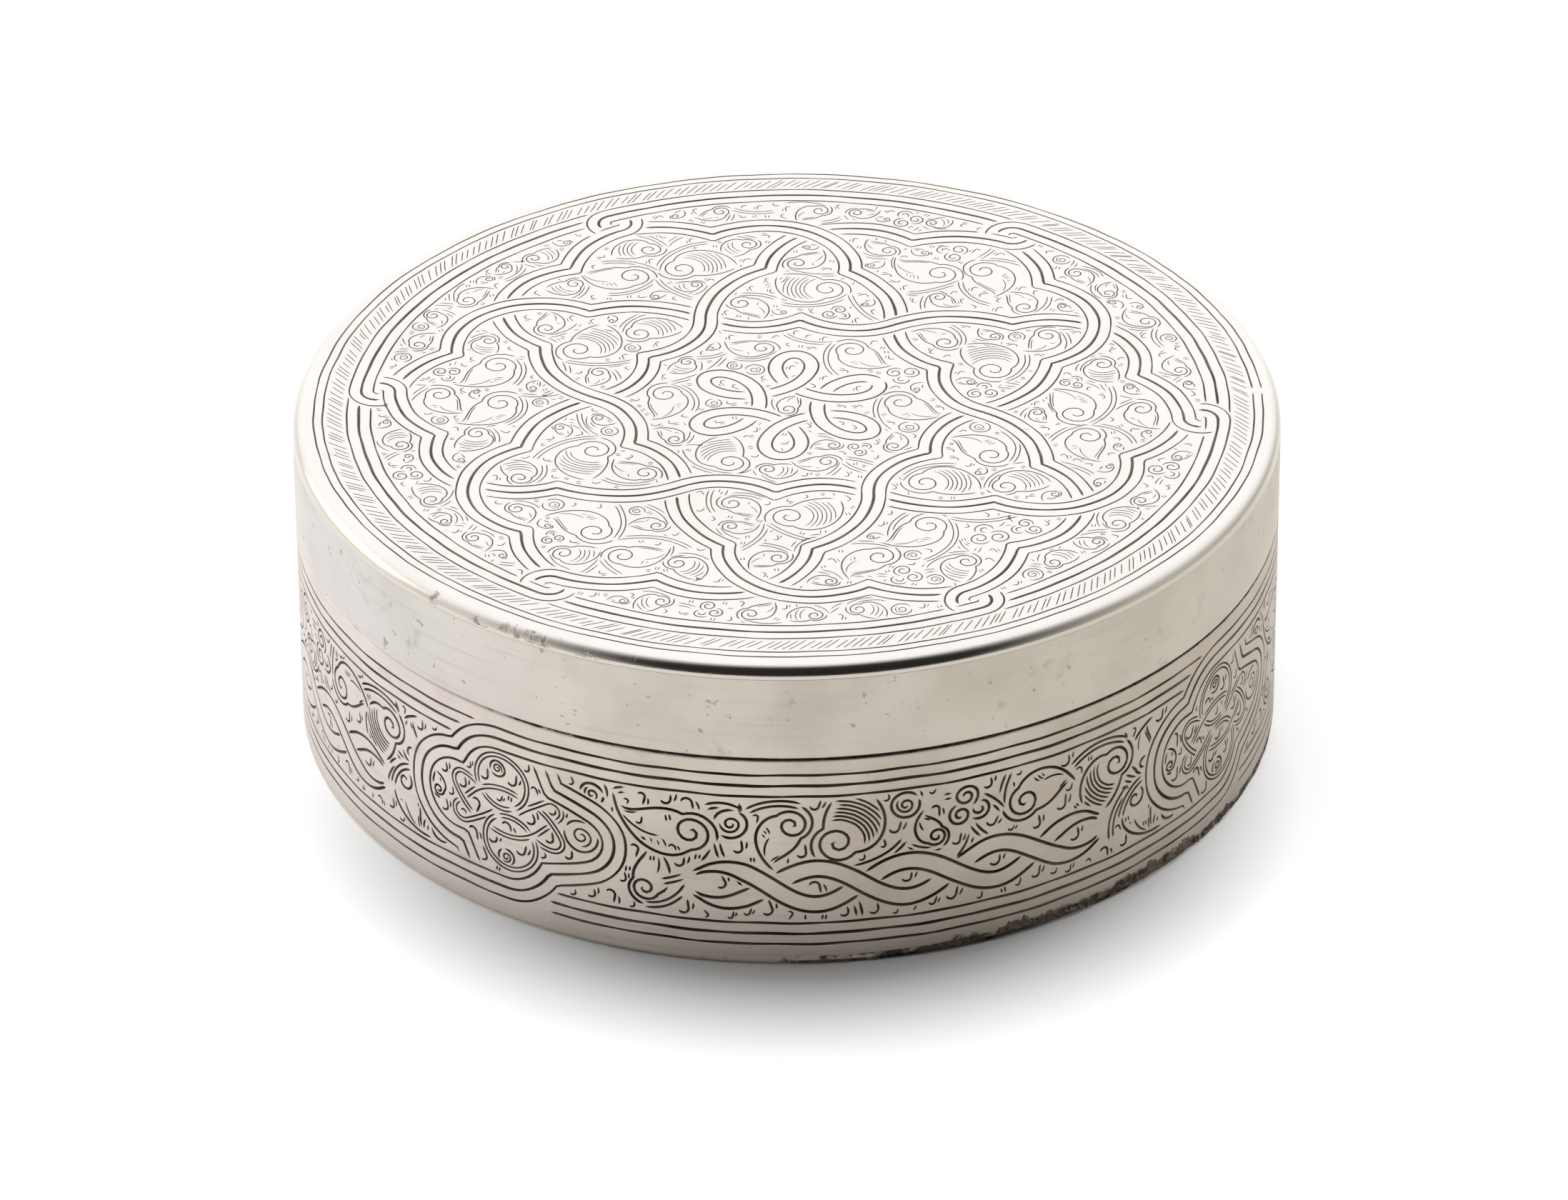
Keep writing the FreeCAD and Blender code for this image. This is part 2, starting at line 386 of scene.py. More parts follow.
def cutSheet(plate, outline, depthPerWidth, fillStep, scale=1.0, shift=0.0):
    # Lips are z +- 1j*tangent*width/2 at depth 0, the groove's foot is z at depth depthPerWidth*width
    # The whole drawing may sit off centre: z*scale + shift
    points, depths, edges = [outline], [np.zeros(len(outline))], []
    order = np.arange(len(outline))
    edges.append(np.stack([order, np.roll(order, -1)], axis=1))
    count = len(outline)
    for run, width in plate["cuts"]:
        foot = handWobble(run) * scale + shift
        tangent = np.gradient(foot)
        side = (1j * tangent / np.abs(tangent) * width / 2)[1:-1]
        n = len(foot)
        points += [foot, foot[1:-1] + side, foot[1:-1] - side]
        depths += [depthPerWidth * width, np.zeros(2 * n - 4)]
        footIds = count + np.arange(n)
        for lipStart in (count + n, count + 2 * n - 2):
            lip = np.concatenate([footIds[:1], lipStart + np.arange(n - 2), footIds[-1:]])
            edges.append(np.stack([lip[:-1], lip[1:]], axis=1))
        edges.append(np.stack([footIds[:-1], footIds[1:]], axis=1))
        count += 3 * n - 4
    stride = max(1, int(round(fillStep / plate["roomCell"])))
    spare = plate["place"][::stride, ::stride][plate["room"][::stride, ::stride] > 0.45] * scale + shift
    points.append(spare)
    depths.append(np.zeros(len(spare)))
    z, depth, edges = np.concatenate(points), np.concatenate(depths), np.concatenate(edges)
    flat = np.stack([z.real, z.imag], axis=1).astype(np.float32)
    result = delaunay_2d_cdt([Vector(p) for p in flat.tolist()], edges.tolist(), [], 0, 1e-7, False)
    out = np.array([tuple(p) for p in result[0]], np.float64)
    triangles = np.array(result[2], np.int64)
    kept = len(flat)
    if np.abs(out[:kept] - flat).max() > 1e-4:
        raise RuntimeError("a cut was merged with another one")
    crossed = len(out) - kept
    depth = np.concatenate([depth, np.full(crossed, 0.04)])
    print(f"sheet: {len(plate['cuts'])} cuts, {len(out)} points, {len(triangles)} triangles,",
          f"{crossed} crossings")
    return out[:, 0] + 1j * out[:, 1], depth, triangles


def gridTriangles(ids, closed):
    # Two triangles for each cell of a grid of vertex numbers; rows run along the first axis
    right = np.roll(ids, -1, axis=1) if closed else ids[:, 1:]
    left = ids if closed else ids[:, :-1]
    a, b, c, d = left[:-1], right[:-1], right[1:], left[1:]
    return np.concatenate([np.stack(corners, axis=-1).reshape(-1, 3) for corners in ((a, b, c), (a, c, d))])


def vertexIds(rows, first=0):
    return first + np.arange(rows.shape[0] * rows.shape[1]).reshape(rows.shape[:2])


def endFans(startLoop, endLoop):
    # A fan of triangles over each end of a strip, the second turned over so that both face outwards
    fans = [np.stack([np.full(len(loop) - 2, loop[0]), loop[1:-1], loop[2:]], axis=1)
            for loop in (startLoop, endLoop)]
    return [fans[0], fans[1][:, ::-1]]


def tube(rows):
    # A closed section carried along: its sides, and a fan over each end
    ids = vertexIds(rows)
    sides = gridTriangles(np.concatenate([ids, ids[:1]]), False)
    return np.concatenate([sides, *endFans(ids[:, 0], ids[:, -1])])


def lathe(profile, bearings):
    # Points radius*(cos, sin), height for every profile point at every bearing
    radius, height = profile.real[:, None], profile.imag[:, None]
    return np.stack([radius * np.cos(bearings), radius * np.sin(bearings), height + 0 * bearings], axis=-1)


def faceNormals(points, triangles):
    corner = points[triangles]
    normal = np.cross(corner[:, 1] - corner[:, 0], corner[:, 2] - corner[:, 0])
    return normal / np.maximum(np.linalg.norm(normal, axis=1, keepdims=True), 1e-12)


def sheetNormals(triangles, sheet, depth, points, land):
    # Land is shaded by its own direction and groove walls by their faces; zero leaves the rest smooth
    normals = np.zeros((len(triangles), 3, 3))
    normals[:len(sheet)] = land
    isGroove = (depth[sheet] > 0).any(axis=1)
    normals[:len(sheet)][isGroove] = faceNormals(points, sheet[isGroove])[:, None, :]
    return normals


def newObject(name, data):
    made = bpy.data.objects.new(name, data)
    scene.collection.objects.link(made)
    return made


def bearingOf(points):
    return np.degrees(np.arctan2(points[:, 1], points[:, 0]))


def newPiece(name, points, triangles, body, slot, material, normals=None, uv=None, **layers):
    # Puts arrays into a mesh object that sits at the origin and rides on a CAD body
    used = np.unique(triangles)
    renumber = np.zeros(len(points), np.int64)
    renumber[used] = np.arange(len(used))
    mesh = bpy.data.meshes.new(name)
    mesh.vertices.add(len(used))
    mesh.vertices.foreach_set("co", (points[used] / 1000).astype(np.float32).ravel())
    mesh.loops.add(triangles.size)
    mesh.loops.foreach_set("vertex_index", renumber[triangles].astype(np.int32).ravel())
    mesh.polygons.add(len(triangles))
    mesh.polygons.foreach_set("loop_start", np.arange(0, triangles.size, 3, dtype=np.int32))
    mesh.update(calc_edges=True)
    mesh.polygons.foreach_set("use_smooth", np.ones(len(triangles), bool))
    if uv is not None:
        bakeMap = mesh.uv_layers.new(name="OFBake", do_init=False)
        bakeMap.uv.foreach_set("vector", uv.astype(np.float32).ravel())
    for layer, values in layers.items():
        attribute = mesh.attributes.new(layer, "FLOAT", "POINT")
        attribute.data.foreach_set("value", values[used].astype(np.float32))
    if normals is not None:
        mesh.normals_split_custom_set(normals.reshape(-1, 3).tolist())
    mesh.materials.append(material)
    piece = newObject(name, mesh)
    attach(piece, body)
    print(f"{name}: {len(used)} vertices, {len(triangles)} triangles")
    return piece


def nodeTree(owner):
    # Node tree of a material or world, and a function that adds a node to it
    # The function applies the settings, and links each input to a socket or sets its value
    owner.use_nodes = True
    tree = owner.node_tree

    def add(kind, inputs, **settings):
        new = tree.nodes.new("ShaderNode" + kind)
        for key, value in settings.items():
            setattr(new, key, value)
        for key, value in inputs.items():
            if isinstance(value, bpy.types.NodeSocket):
                tree.links.new(value, new.inputs[key])
            else:
                new.inputs[key].default_value = value
        return new.outputs

    return tree, add


# Silver: one builder for all its finishes; places along X are in metres
leftEnd, paleEnd, rightEnd = -0.055, -0.012, 0.06


def silver(name, finish):
    material = bpy.data.materials.new(name)
    tree, add = nodeTree(material)
    shader = tree.nodes["Principled BSDF"]
    shader.inputs["Metallic"].default_value = 1.0
    coordinates = add("TexCoord", {})["Object"]
    acrossX = add("SeparateXYZ", {0: coordinates})["X"]

    def noise(scale, detail, roughness, where=coordinates):
        return add("TexNoise", dict(Vector=where, Scale=scale, Detail=detail, Roughness=roughness))["Fac"]

    def spread(value, low, high, toLow, toHigh):
        limits = {"Value": value, "From Min": low, "From Max": high, "To Min": toLow, "To Max": toHigh}
        return add("MapRange", limits, interpolation_type="SMOOTHSTEP")["Result"]

    def mix(factor, *colours):
        first, second = [(*colour, 1) if isinstance(colour, tuple) else colour for colour in colours]
        return add("Mix", {0: factor, 6: first, 7: second}, data_type="RGBA")[2]

    def blendNumber(factor, first, second):
        return add("Mix", {0: factor, 2: first, 3: second})[0]

    def layer(name):
        return add("Attribute", {}, attribute_name=name)["Fac"]

    # Bright metal, cloudier in patches and duller towards +X, partly tarnish and partly painted shade, with
    # smudges and small grey specks
    colour = mix(spread(noise(45, 4, 0.55), 0.38, 0.72, 0, 1), finish["bright"], finish["cloud"])
    roughness = spread(noise(90, 5, 0.6), 0.3, 0.75, finish["smooth"], finish["rough"])
    if finish["tarnishAndShade"]:
        colour = mix(spread(acrossX, leftEnd, rightEnd, 0, finish["tarnishAndShade"]), colour, finish["shade"])
    if "pale" in finish:
        colour = mix(spread(acrossX, leftEnd, paleEnd, 0.85, 0), colour, finish["pale"])
    colour = mix(spread(noise(210, 5, 0.62), 0.60, 0.74, 0, finish["smudge"]), colour, finish["speck"])
    specks = spread(noise(620, 3, 0.6), finish["speckFrom"], finish["speckFrom"] + 0.06, 0, 0.7)
    colour = mix(specks, colour, finish["speck"])
    if "shoulderShadeColour" in finish:
        # The rolled shoulder is handled most: smoother. Its colour is darkened to the skirt's tone lower
        # down, and more towards +X: painted shade
        shoulderPaintedShade = mix(spread(acrossX, leftEnd, rightEnd, 0, 0.6), finish["shoulderShadeColour"], finish["shade"])
        edge = layer("edge")
        colour = mix(spread(edge, 0.0, 0.42, 0, 1), colour, shoulderPaintedShade)
        roughness = blendNumber(spread(edge, 0.0, 0.25, 0, 1), roughness, finish["edgeRough"])
        roughness = blendNumber(spread(edge, 0.75, 1.0, 0, 1), roughness, finish["rough"])
        # Fine scratches leave the flat land satin, so it scatters some light; the shoulder is all mirror
        tree.links.new(spread(edge, 0.0, 0.12, finish["landMetal"], 1.0), shader.inputs["Metallic"])
    if "along" in finish:
        # Fine wear lines that run round the strip
        streak = noise(1.0, 4, 0.6, add("CombineXYZ", {0: layer("along"), 1: layer("up")})[0])
        colour = mix(spread(streak, 0.52, 0.75, 0, finish["along"]), colour, finish["shade"])
    if "groove" in finish:
        # Tarnish sits in the cuts, darker in some than in others
        cut = spread(layer("cut"), 0.02, 0.25, 0, 1)
        dirt = spread(noise(160, 4, 0.6), 0.25, 0.7, 0, 1)
        colour = mix(cut, colour, mix(dirt, finish["groove"], finish["grooveWorn"]))
        roughness = blendNumber(cut, roughness, 0.55)
    # Dark crust where the grime-and-shade layer is high, or on the side that the finish names; in the seam
    # under the lid this darkness is painted shade as well as dirt
    if "crustSide" in finish:
        toSide = add("VectorMath", {0: coordinates, 1: finish["crustSide"]}, operation="DOT_PRODUCT")
        grime = spread(toSide["Value"], 0.005, 0.055, 0.1, 0.62)
    else:
        grime = layer("grime")
    crustAndShadeLevel = add("Math", {0: grime, 1: noise(430, 5, 0.62)}, operation="ADD")[0]
    crustAndShadeShare = spread(crustAndShadeLevel, 0.90, 1.08, 0, 0.94)
    darkest, brownest = finish.get("crust", ((0.035, 0.03, 0.026), (0.12, 0.085, 0.06)))
    colour = mix(crustAndShadeShare, colour, mix(spread(noise(900, 3, 0.6), 0.35, 0.65, 0, 1), darkest, brownest))
    roughness = blendNumber(crustAndShadeShare, roughness, 0.7)
    # Slight dents of the sheet, then fine scratches, then the crust's own grain
    normal = add("Bump", dict(Strength=finish["dent"], Distance=0.0006, Height=noise(55, 2, 0.5)))[0]
    normal = add("Bump", dict(Strength=finish["scratch"], Distance=0.00005, Height=noise(1500, 4, 0.7),
                              Normal=normal))[0]
    normal = add("Bump", dict(Strength=finish.get("grain", 0.5), Distance=0.0002, Height=crustAndShadeShare,
                              Normal=normal), invert=True)[0]
    for key, value in (("Base Color", colour), ("Roughness", roughness), ("Normal", normal)):
        tree.links.new(value, shader.inputs[key])
    return material


topFinish = dict(bright=(1.0, 0.965, 0.93), cloud=(0.965, 0.92, 0.875), speck=(0.45, 0.42, 0.39),
                 speckFrom=0.74, groove=(0.12, 0.10, 0.085), grooveWorn=(0.30, 0.26, 0.225), smooth=0.26,
                 rough=0.34, tarnishAndShade=0, smudge=0.12, shoulderShadeColour=(0.635, 0.59, 0.525),
                 shade=(0.40, 0.355, 0.285), edgeRough=0.18, landMetal=0.55, dent=0.10, scratch=0.10,
                 crust=((0.20, 0.155, 0.12), (0.42, 0.36, 0.31)), grain=0.25)
wallFinish = dict(bright=(0.68, 0.62, 0.55), cloud=(0.60, 0.54, 0.465), speck=(0.30, 0.265, 0.22),
                  speckFrom=0.72, groove=(0.05, 0.041, 0.032), grooveWorn=(0.20, 0.168, 0.135), smooth=0.46,
                  rough=0.56, tarnishAndShade=0.62, shade=(0.34, 0.295, 0.23), pale=(0.72, 0.655, 0.63), smudge=0.2,
                  along=0.25, dent=0.14, scratch=0.12)
skirtFinish = dict(bright=(0.635, 0.59, 0.525), cloud=(0.575, 0.525, 0.46), speck=(0.27, 0.24, 0.205),
                   speckFrom=0.655, smooth=0.42, rough=0.52, tarnishAndShade=0.6, shade=(0.40, 0.355, 0.285),
                   pale=(0.65, 0.62, 0.60), smudge=0.5, along=0.3, dent=0.16, scratch=0.10)
insideFinish = dict(bright=(0.74, 0.69, 0.62), cloud=(0.58, 0.525, 0.45), speck=(0.26, 0.22, 0.18),
                    speckFrom=0.68, smooth=0.32, rough=0.5, tarnishAndShade=0, smudge=0.3, dent=0.2, scratch=0.15)
footFinish = dict(insideFinish, bright=(0.68, 0.625, 0.55), smooth=0.48, rough=0.62,
                  crustSide=(0.85, -0.53, 0))
solderFinish = dict(bright=(0.52, 0.48, 0.43), cloud=(0.36, 0.325, 0.285), speck=(0.14, 0.12, 0.10),
                    speckFrom=0.6, smooth=0.40, rough=0.6, tarnishAndShade=0, smudge=0.5, dent=0.5, scratch=0.3)
crustFinish = dict(solderFinish, bright=(0.20, 0.165, 0.13), cloud=(0.09, 0.074, 0.058))
topSilver = silver("engraved lid silver", topFinish)
wallSilver = silver("engraved wall silver", wallFinish)
skirtSilver = silver("plain skirt silver", skirtFinish)
insideSilver = silver("inside silver", insideFinish)
footSilver = silver("foot silver", footFinish)
solderSilver = silver("solder", solderFinish)
crustSolder = silver("rough solder", crustFinish)
print("materials made")

# Lid drawing: six straps that run from knot to opposite knot and weave through each other inside a ring
lid = dict(edgeLines=(57.34, 56.25), hatchFrom=53.6, hatchTo=56.0, hatchCount=340, hatchSlant=-47,
           ringRadius=51.9, strapHalf=1.43, strapLine=0.44, strapEdge=0.27, hook=2.05, firstAxis=-34.4,
           middleCusp=(20.6, 0), innerCrossing=(23.2, 30), outerCrossing=(42.3, -60), lobeFoot=(33.5, 51),
           lobeHead=(43.0, 76.9), knotLoop=7.8, knotReach=4.3, knotTurn=25.6, ribbonHalf=0.85,
           scrollLine=0.2, flatRadius=58.5, depthPerWidth=0.5, drawScale=1.005, drawShift=0.22 + 0.24j,
           columns=720, underRings=(40, 15), pitBearing=-122, pitWidth=26, edgeGrime=0.11, pitGrime=0.29)
lidMap = dict(topScale=0.395, topReach=62, topPlace=0.4 + 0.6j, underScale=0.095, underReach=60.5,
              underPlace=0.9 + 0.1j)
lidPlate = newPlate(-59 - 59j, 59 + 59j, 11)


def drawStraps(plate):
    half, ringRadius, hook = lid["strapHalf"], lid["ringRadius"], lid["hook"]
    # Half a strap in its own frame: middle cusp, inner crossing, cusp, lobe, cusp, foot of the knot
    corners = ("middleCusp", "innerCrossing", "outerCrossing", "lobeFoot", "lobeHead")
    middleCusp, innerCrossing, outerCrossing, lobeFoot, lobeHead = [polar(*lid[key]) for key in corners]
    eye, knotFoot = polar(ringRadius - hook, 90), polar(ringRadius - 2 * hook, 90)
    first, heading = arcTo(middleCusp, np.radians(130), innerCrossing)
    second, heading = arcTo(innerCrossing, heading, lobeFoot)
    lobe, heading = arcTo(lobeFoot, np.radians(59.5), lobeHead)
    rise, heading = arcTo(lobeHead, np.radians(122.8), knotFoot)
    side, cusps = joinPath([first, second, lobe, rise], [False, True, True])
    # One end goes under the knot, the other curls round its eye; so does one end of each stretch of the ring
    curl = np.linspace(0, np.radians(200), 30)
    arriving = np.concatenate([side, eye + hook * np.exp(-1j * (np.pi / 2 + curl[1:]))])
    strap = np.concatenate([side[::-1], np.conj(arriving)[1:]])
    last = len(side) - 1
    strapCusps = [last - cusp for cusp in cusps[::-1]] + [last] + [last + cusp for cusp in cusps]
    ring = np.concatenate([polar(ringRadius, np.linspace(30, 90, 200)),
                           eye + hook * np.exp(1j * (np.pi / 2 + curl[1:]))])
    turn60 = polar(1, 60)
    ringCurl, strapCurl = ring[-60:], -strap[-60:]

    # Bodies of both bands up to the knot, each of which covers the other one's curled end
    ringBody, strapBody = ring[:203], -strap[:-27]

    def underKnot(line, knotTurn):
        near = np.abs(line - eye * knotTurn) < 7
        offRing = farFrom(line, ringCurl * knotTurn, half + 0.25)
        offStrap = farFrom(line, strapCurl * knotTurn, half + 0.25)
        return near & ~(offRing & offStrap)

    def curlHidden(line, body, curlEye):
        # Only the end of the line curls: its points that come after the knot's foot
        tail = lengthAlong(line) > lengthAlong(line)[-1] - 4.6
        return tail & (np.abs(line - curlEye) < 5) & ~farFrom(line, body, half + 0.22)

    def strapHidden(line):
        inner = (np.abs(line - innerCrossing) < 6) & ~farFrom(line, strap * turn60, half + 0.3)
        outer = (np.abs(line - outerCrossing) < 6) & ~farFrom(line, strap / turn60 ** 2, half + 0.3)
        return inner | outer | underKnot(line, 1) | curlHidden(line, -ringBody, -eye)

    def ringHidden(line):
        return underKnot(line, 1 / turn60) | curlHidden(line, strapBody, eye)

    turns = polar(1, lid["firstAxis"] + 60 * np.arange(6))
    for turn in turns:
        for path, cuspsOf, hidden in ((strap, strapCusps, strapHidden), (ring, [], ringHidden)):
            for offset in (0, -half, half):
                line = parallelLine(path, cuspsOf, offset)
                width = lid["strapEdge" if offset else "strapLine"]
                for run in visibleRuns(line, ~hidden(line)):
                    engrave(plate, run * turn, width, step=0.6, clear=0.12, push=12)
    for turn in turns:
        reserve(plate, strap * turn, half)
        reserve(plate, ring * turn, half)


def drawKnot(plate):
    # z(t) = a*exp(1j*t) + b*exp(-5j*t): six loops of ribbon, over and under by turns
    t = np.linspace(0, 2 * np.pi, 721)
    knot = lid["knotLoop"] * np.exp(1j * t) + lid["knotReach"] * np.exp(-5j * t)
    knot, half = knot * polar(1, lid["knotTurn"]), lid["ribbonHalf"]
    legs = np.diff(knot)
    i, j = np.triu_indices(len(legs), 10)
    hit = meetings(knot[i], legs[i], knot[j], legs[j])[1] & (j - i < len(legs) - 10)
    passes, partners = np.concatenate([i[hit], j[hit]]), np.concatenate([j[hit], i[hit]])
    under = np.argsort(np.argsort(passes)) % 2 == 1
    index = np.arange(len(knot))
    for offset in (-half, half):
        line = parallelLine(knot, [], offset)
        hidden = np.zeros(len(line), bool)
        for lower, upper in zip(passes[under], partners[under]):
            near = np.abs((index - lower + 360) % 720 - 360) < 40
            over = knot[np.abs((index - upper + 360) % 720 - 360) < 40]
            hidden |= near & ~farFrom(line, over, half + 0.28)
        for run in visibleRuns(line, ~hidden):
            engrave(plate, run, 0.28, step=0.5, clear=0.14)
    reserve(plate, knot, half)
    print(f"central knot: {int(hit.sum())} crossings")


def drawBorder(plate):
    # Two rim lines and a ring of slanted strokes
    rng, count = plate["rng"], lid["hatchCount"]
    for radius in lid["edgeLines"]:
        engrave(plate, polar(radius, np.linspace(3, 362.4, 720)), 0.26, step=0.8, push=17)
    for bearing in (np.arange(count) + rng.normal(0, 0.2, count)) * 360 / count:
        low, high = lid["hatchFrom"] + 0.15 * rng.random(), lid["hatchTo"] - 0.25 * rng.random()
        lean = np.degrees((high - low) * np.tan(np.radians(lid["hatchSlant"])) / high)
        stroke = polar(np.linspace(low, high, 6), bearing + np.linspace(0, lean, 6))
        engrave(plate, stroke, 0.15, step=0.6, taper=0.6, clear=0.1, claim=False)


def roundTheCentre(z):
    return np.angle(z) + np.pi / 2


drawStraps(lidPlate)
drawKnot(lidPlate)
drawBorder(lidPlate)
fieldRadius = lid["ringRadius"] - lid["strapHalf"]
lidPlate["inked"] |= np.abs(inkPlaces(lidPlate)) > fieldRadius - 0.15
lidPlate["room"] = np.minimum(lidPlate["room"], fieldRadius - np.abs(lidPlate["place"]))
lidScrolls = ((4.3, 2.7, 1.2, 0.3, 1.0, (shellLeaf, slimLeaf, slimLeaf), True),
              (2.8, 1.55, 1.2, 0.25, 0.95, (slimLeaf, trefoil, shellLeaf, slimLeaf), True),
              (1.5, 1.05, 1.1, 0.2, 0.9, (ringedEye, slimLeaf), False))
lidMarks = ((0.75, 0.95, 0.85, hookPair, 0.6), (0.42, 0.55, 0.75, tickPair, 0.6))
fillPlate(lidPlate, lidScrolls, lidMarks, lid["scrollLine"], roundTheCentre)
print(f"lid drawing: {len(lidPlate['cuts'])} cuts")


def buildLid():
    # Engraved disc, shoulder rolled over to the edge, flat underside
    top, bottom, flatRadius, columns = lidHigh[2], lidLow[2], lid["flatRadius"], lid["columns"]
    bearings = np.arange(columns) * 2 * np.pi / columns
    z, depth, sheet = cutSheet(lidPlate, flatRadius * np.exp(1j * bearings), lid["depthPerWidth"], 3.0,
                               lid["drawScale"], lid["drawShift"])
    topPoints = np.stack([z.real, z.imag, top - depth], axis=1)
    roll = boxRadius - flatRadius
    sweep = np.radians(np.linspace(0, 90, 10)[1:])
    shoulder = flatRadius + roll * np.sin(sweep) + 1j * (top - roll + roll * np.cos(sweep))
    under = np.array([boxRadius, boxRadius - sheetThick, *lid["underRings"]]) + 1j * bottom
    profile = np.concatenate([shoulder, under])
    rows = lathe(profile, bearings)
    ids = np.concatenate([np.arange(columns)[None, :], vertexIds(rows, len(z))])
    points = np.concatenate([topPoints, rows.reshape(-1, 3), [[0, 0, bottom]]])
    sides = gridTriangles(ids, True)[:, ::-1]
    pole = np.stack([ids[-1], np.full(columns, len(points) - 1), np.roll(ids[-1], -1)], axis=1)
    triangles = np.concatenate([sheet, sides, pole])
    normals = sheetNormals(triangles, sheet, depth, topPoints, (0, 0, 1))
    # Map: the top unrolled over its shoulder, and the underside as a small disc in a corner
    alongProfile = flatRadius + lengthAlong(np.concatenate([[flatRadius + 1j * top], profile]))[1:]
    ringLength = np.concatenate([np.abs(z), np.repeat(alongProfile, columns), [0]])
    flatPlace, bearing = points[:, 0] + 1j * points[:, 1], np.arctan2(points[:, 1], points[:, 0])
    over = ringLength * np.exp(1j * bearing) * lidMap["topScale"] / lidMap["topReach"] + lidMap["topPlace"]
    below = flatPlace * lidMap["underScale"] / lidMap["underReach"] + lidMap["underPlace"]
    flatSides = (points[sides][:, :, 2] <= bottom + 1e-6).all(axis=1)
    isBelow = np.concatenate([np.zeros(len(sheet), bool), flatSides, np.ones(len(pole), bool)])
    corner = np.where(isBelow[:, None], below[triangles], over[triangles])
    uv = np.stack([corner.real, corner.imag], axis=-1)
    cut = np.concatenate([(depth > 0).astype(float), np.zeros(len(points) - len(depth))])
    # How far round the shoulder a point lies, and the pitted stretch of it at the front left
    edge = np.clip((top - points[:, 2]) / roll, 0, 1) * (np.abs(flatPlace) > flatRadius)
    pitted = np.exp(-((bearingOf(points) - lid["pitBearing"]) / lid["pitWidth"]) ** 2)
    grime = (lid["edgeGrime"] + lid["pitGrime"] * pitted) * (edge > 0.04) * (edge < 0.9)
    piece = newPiece("lid_top_engraved", points, triangles, "lid", "silver_engraved", topSilver, normals, uv,
                     cut=cut, edge=edge, grime=grime)
    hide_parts("lid_top")


buildLid()

# Wall drawing on the unrolled strip: cartouches joined by a border strap above and below, foliage between
stripLength = girth - seamGap
wall = dict(middle=14.75, borderRise=10.35, strapHalf=1.48, strapLine=0.48, strapEdge=0.40, repeats=4,
            firstCentre=59.42, drift=(0, 0, 3.4, 1.7), loopHalf=0.26, loopLine=0.28, knotShift=-0.9 + 0.3j,
            ribbonHalf=1.1, ribbonDrop=-3.7, ribbonSwing=2.5, ribbonWave=22.0, ribbonReach=25.5,
            bandLine=0.46, scrollLine=0.42, seamMargin=0.4, rimRound=0.5, depthPerWidth=0.55, columns=480,
            levels=10, footGrime=0.20, sideGrime=0.43, sideBearing=-50, sideWidth=24)
wallMap = dict(left=0.02, sheetScale=0.0073, sheetFrom=0.01, sheetStep=0.215, restScale=0.0049,
               restFrom=0.67, restStep=0.16)
wearScale = dict(along=0.05, up=1.3)         # of the wear lines on wall and skirt
wallTop = wallHigh[2] - wall["rimRound"]
wallPlate = newPlate(0 + 1j * wallLow[2], stripLength + 1j * wallTop, 5)
pitch = girth / wall["repeats"]
cartouches = wall["firstCentre"] + pitch * np.arange(wall["repeats"]) + wall["drift"] + 1j * wall["middle"]
panels = np.diff(np.append(cartouches, cartouches[0] + girth).real)


def onStrip(line):
    # The strip is open at its seam: a line that runs past one end comes in again at the other
    margin = wall["seamMargin"]
    for shift in (-girth, 0, girth):
        moved = line + shift
        yield from visibleRuns(moved, (moved.real > margin) & (moved.real < stripLength - margin))


def chain(start, heading, *ends):
    # Arcs that follow on from each other without a corner
    path = np.array([start])
    for end in ends:
        arc, heading = arcTo(path[-1], heading, end, 0.2)
        path = np.concatenate([path, arc[1:]])
    return path


def drawCartouches(plate):
    half, rise = wall["strapHalf"], wall["borderRise"]
    # Left side as it stands, right side turned half round; cut by hand, the two are a little different
    # Of each: shoulder, upper cusp, ends of the side lobe's arcs, its first heading, foot
    sides = {1: (-1.6, -8.0 + 6.35j, (-7.6 - 6.05j,), 179, -5.3),
             -1: (0.9, -5.1 + 6.5j, (-10.8 + 4.6j, -10.8 - 3.9j, -5.9 - 5.6j), 194, -4.0)}
    straps = []
    for number, turn in np.ndindex(len(cartouches), 2):
        turn = 1 - 2 * turn
        centre, gap = cartouches[number], panels[number if turn > 0 else number - 1]
        shoulder, upperCusp, lobeEnds, lobeHeading, foot = sides[turn]
        # Along the top border, round the top lobe, cusp, side lobe, cusp, and under the bottom border
        shoulder, dive = shoulder + 1j * rise, foot - 10.6j
        border = np.linspace(gap - 5.0, shoulder.real, 200) + 1j * rise
        topLobe, heading = arcTo(shoulder, np.pi, upperCusp)
        sideLobe = chain(upperCusp, np.radians(lobeHeading), *lobeEnds)
        diveLeg, heading = arcTo(lobeEnds[-1], np.radians(-64), dive)
        strap, cusps = joinPath([border, topLobe, sideLobe, diveLeg], [False, True, True])
        nextTop = np.concatenate([topLobe, sideLobe[:30], border[-12:]]) + gap
        under = gap + (shoulder + upperCusp) / 2
        for offset in (0, -half, half):
            line = parallelLine(strap, cusps, offset)
            width = wall["strapEdge" if offset else "strapLine"]
            hidden = (np.abs(line - under) < 8) & ~farFrom(line, nextTop, half + 0.35)
            hidden |= (np.abs(line - dive) < 4.5) & (line.imag < -rise + half + 0.3)
            for run in visibleRuns(line, ~hidden):
                for part in onStrip(run * turn + centre):
                    engrave(plate, part, width, step=0.8, clear=0.2, push=9.5)
        straps += onStrip(strap * turn + centre)
    for strap in straps:
        reserve(plate, strap, half)


